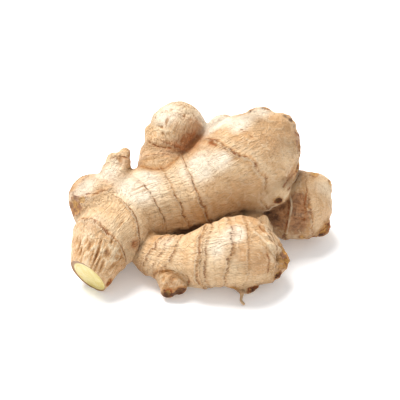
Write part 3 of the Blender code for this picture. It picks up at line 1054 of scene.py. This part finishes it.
def ringed(look, colour, place, grain):
    """Rings: a thin dark line under torn pale teeth, warm before it and fresh pale skin past it.

    The line and the teeth's pale lip are returned too, for the bumps.
    """
    edge = look.fact("ring_edge")
    wavy = look.waver(look.noise(grain, WAVE_SCALE), 1.6)
    teeth = look.waver(look.noise(grain, TOOTH_SCALE), 2.4)
    past = look.math("ADD", look.fact("past_ring"), look.math("ADD", wavy, teeth))
    before = look.math("MULTIPLY", look.band(past, -1.0, 1.6), edge)
    colour = look.mix(look.math("MULTIPLY", before, 0.4), colour, WARM)
    fresh = look.math("MULTIPLY", look.band(past, 2.4, 2.6), edge)
    colour = look.mix(look.math("MULTIPLY", fresh, 0.4), colour, PALE)
    wall = look.math("MULTIPLY", look.band(past, 0.5, 0.9), edge)
    colour = look.mix(look.math("MULTIPLY", wall, 0.6), colour, WARM)
    lip = look.math("MULTIPLY", look.band(past, -0.6, 0.5), edge)
    colour = look.mix(look.math("MULTIPLY", lip, 0.8), colour, PALE)

    broken = look.step(look.noise(place, BREAK_SCALE), 0.40, 0.56, 0.1, 0.9)
    frayed = look.step(broken, 0.0, 1.0, 0.6, 1.2)
    width = look.math("MULTIPLY", look.step(edge, 0.0, 1.1, 0.25, 0.6), frayed)
    line = look.math("MULTIPLY", look.band(past, 0.15, width), broken)
    line = look.math("MULTIPLY", line, look.step(edge, 0.0, 0.8, 0.2, 1.0))
    line = look.math("MULTIPLY", line, look.step(look.noise(place, FADE_SCALE), 0.36, 0.54, 0.5, 1.0))
    ink = look.mix(look.step(look.noise(place, INK_SCALE), 0.50, 0.68), RUST, BROWN)
    return look.mix(line, colour, ink), line, lip


def shaded(look, colour, cork, ragged):
    """Rough purple-brown skin under and beside the overhanging end, darker in its hollows, with painted
    shadow where that end shades the back lobe.
    """
    purple = look.plus(look.fact("purple"), ragged, 1.3)
    shade = look.mix(look.step(cork, 0.40, 0.54), SHADY, PURPLE)
    return look.mix(look.step(purple, 0.25, 0.8, 0.0, 0.8), colour, shade)


def seamed(look, colour, ragged):
    """Pale ridges of skin, and dark torn seams, whose cut is returned too, for the bumps."""
    ridge = look.plus(look.fact("ridge"), ragged, 1.6)
    colour = look.mix(look.step(ridge, 1.3, 0.3, 0.0, 0.7), colour, PALE)
    seam = look.plus(look.fact("seam"), ragged, 2.2)
    colour = look.mix(look.step(seam, 2.6, 1.0, 0.0, 0.25), colour, WARM)
    cut = look.step(seam, 1.0, 0.2, 0.0, 0.75)
    ink = look.mix(look.step(ragged, -0.1, 0.1), RUST, BROWN)
    return look.mix(cut, colour, ink), cut


def scarred(look, colour, place, papery, cork, ragged):
    """Stains and painted shade under the knob, corky torn patches, and bud scars: a straw core in a
    brown cup with a torn rim.

    Yellow fibres lie over them, and so do dark flakes, dry scars, and painted shade in the narrow
    gap and on the back lobe.
    """
    # Stains, and painted orange-brown shade under the knob
    blotch = look.math("MULTIPLY", look.fact("stain_and_shade"), look.step(papery, 0.35, 0.6, 0.6, 1.0))
    colour = look.mix(look.math("MINIMUM", blotch, 0.85), colour, ORANGE)
    torn = look.math("ADD", look.fact("torn"), ragged)
    fibres = look.mix(look.step(cork, 0.46, 0.58), ORANGE, STRAW)
    corky = look.mix(look.step(cork, 0.34, 0.42), BROWN, fibres)
    colour = look.mix(look.step(torn, 1.3, 0.9, 0.0, 0.65), colour, corky)

    bud = look.plus(look.fact("bud"), ragged, 0.5)
    colour = look.mix(look.step(bud, 1.5, 1.1, 0.0, 0.6), colour, WARM)
    cup = look.mix(look.step(look.noise(place, CUP_SCALE), 0.42, 0.55), DARK, RUST)
    colour = look.mix(look.step(bud, 1.05, 0.85, 0.0, 0.95), colour, cup)
    core = look.mix(look.step(cork, 0.4, 0.6), ORANGE, STRAW)
    colour = look.mix(look.step(bud, 0.8, 0.6, 0.0, 0.95), colour, core)

    fibrous = look.math("MULTIPLY", look.fact("fibrous"), look.step(cork, 0.46, 0.54))
    colour = look.mix(look.math("MINIMUM", fibrous, 0.8), colour, YELLOW)
    # Dark flakes and dry scars, and painted shade in the narrow gap and on the back lobe
    dried_and_shaded = look.math("MULTIPLY", look.fact("grime_and_shade"), look.step(cork, 0.36, 0.56, 1.0, 0.7))
    return look.mix(look.step(dried_and_shaded, 0.2, 1.0, 0.0, 0.85), colour, SOOT_AND_SHADE)


def flesh():
    """Moist pale yellow flesh with a faint inner ring, fibres, and a dry skin edge."""
    look = Recipe("ginger_flesh_look")
    place = look.place()
    from_middle = look.tree.nodes.new("ShaderNodeVectorMath")
    from_middle.operation = "DISTANCE"
    look.feed(from_middle.inputs[0], place)
    look.feed(from_middle.inputs[1], (Vector(CUT_CENTRE) - Vector(CENTRE)) * MM)
    reach = look.math("DIVIDE", from_middle.outputs["Value"], CUT_RADIUS * MM)
    cloudy = look.noise(place, CLOUD_SCALE, detail=3.0)
    colour = look.mix(look.step(cloudy, 0.35, 0.65), FLESH, FLESH_PALE)
    inner_ring = look.math("MULTIPLY", look.band(reach, FLESH_INNER_RING, 0.07), 0.5)
    colour = look.mix(inner_ring, colour, FLESH_RING)
    fibres = look.cells(place, FIBRE_SCALE)
    colour = look.mix(look.step(fibres, 0.35, 0.12, 0.0, 0.35), colour, FLESH_RING)
    colour = look.mix(look.step(reach, 0.90, 0.98, 0.0, 0.95), colour, SKIN_EDGE)
    look.feed(look.shader.inputs["Base Color"], colour)
    look.feed(look.shader.inputs["Roughness"], FLESH_ROUGH)
    look.bump(look.math("ADD", fibres, cloudy), FLESH_BUMP)
    return look.material


def add_camera():
    """The camera that sees the root as the photo does."""
    data = bpy.data.cameras.new("camera")
    data.lens = CAMERA_LENS
    data.clip_start = CAMERA_NEAR
    camera = new_object("camera", data)
    back = Vector((0, -math.cos(CAMERA_DOWN), math.sin(CAMERA_DOWN)))
    camera.location = (Vector(CAMERA_AIM) - Vector(CENTRE) + back * CAMERA_DISTANCE) * MM
    camera.rotation_euler = (math.pi / 2 - CAMERA_DOWN, 0, 0)
    bpy.context.scene.camera = camera


def add_sun():
    """A wide sun above, behind and to the left, whose shadows are soft."""
    data = bpy.data.lights.new("key", "SUN")
    data.energy = SUN_STRENGTH
    data.angle = SUN_WIDTH
    sun = new_object("key", data)
    sun.rotation_euler = Vector(SUN_TOWARDS).to_track_quat("Z", "Y").to_euler()


def add_sky():
    """White light from all sides."""
    world = bpy.data.worlds.new("studio")
    world.use_nodes = True
    sky = world.node_tree.nodes["Background"]
    sky.inputs["Color"].default_value = (1, 1, 1, 1)
    sky.inputs["Strength"].default_value = SKY_BRIGHTNESS
    bpy.context.scene.world = world


def add_floor():
    """A wide pale studio floor that glows a little."""
    mesh = bmesh.new()
    bmesh.ops.create_grid(mesh, x_segments=1, y_segments=1, size=FLOOR_REACH)
    data = bpy.data.meshes.new("floor")
    mesh.to_mesh(data)
    mesh.free()
    material = bpy.data.materials.new("floor")
    material.use_nodes = True
    shader = material.node_tree.nodes["Principled BSDF"]
    shader.inputs["Base Color"].default_value = (FLOOR_PALENESS, FLOOR_PALENESS, FLOOR_PALENESS, 1)
    shader.inputs["Roughness"].default_value = FLOOR_ROUGH
    shader.inputs["Specular IOR Level"].default_value = FLOOR_SHINE
    shader.inputs["Emission Color"].default_value = (1, 1, 1, 1)
    shader.inputs["Emission Strength"].default_value = FLOOR_GLOW
    data.materials.append(material)
    floor = new_object("floor", data)


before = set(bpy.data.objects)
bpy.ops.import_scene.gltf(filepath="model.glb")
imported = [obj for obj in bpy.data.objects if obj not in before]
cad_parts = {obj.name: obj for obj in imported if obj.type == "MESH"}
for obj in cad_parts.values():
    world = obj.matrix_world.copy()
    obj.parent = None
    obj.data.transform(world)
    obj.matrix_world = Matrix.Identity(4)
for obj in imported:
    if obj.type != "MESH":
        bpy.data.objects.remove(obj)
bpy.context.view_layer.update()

root = ginger_root()
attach(root, "root")
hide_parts(NODE)

bpy.context.scene.view_settings.view_transform = "Standard"
add_floor()
add_camera()
add_sky()
add_sun()
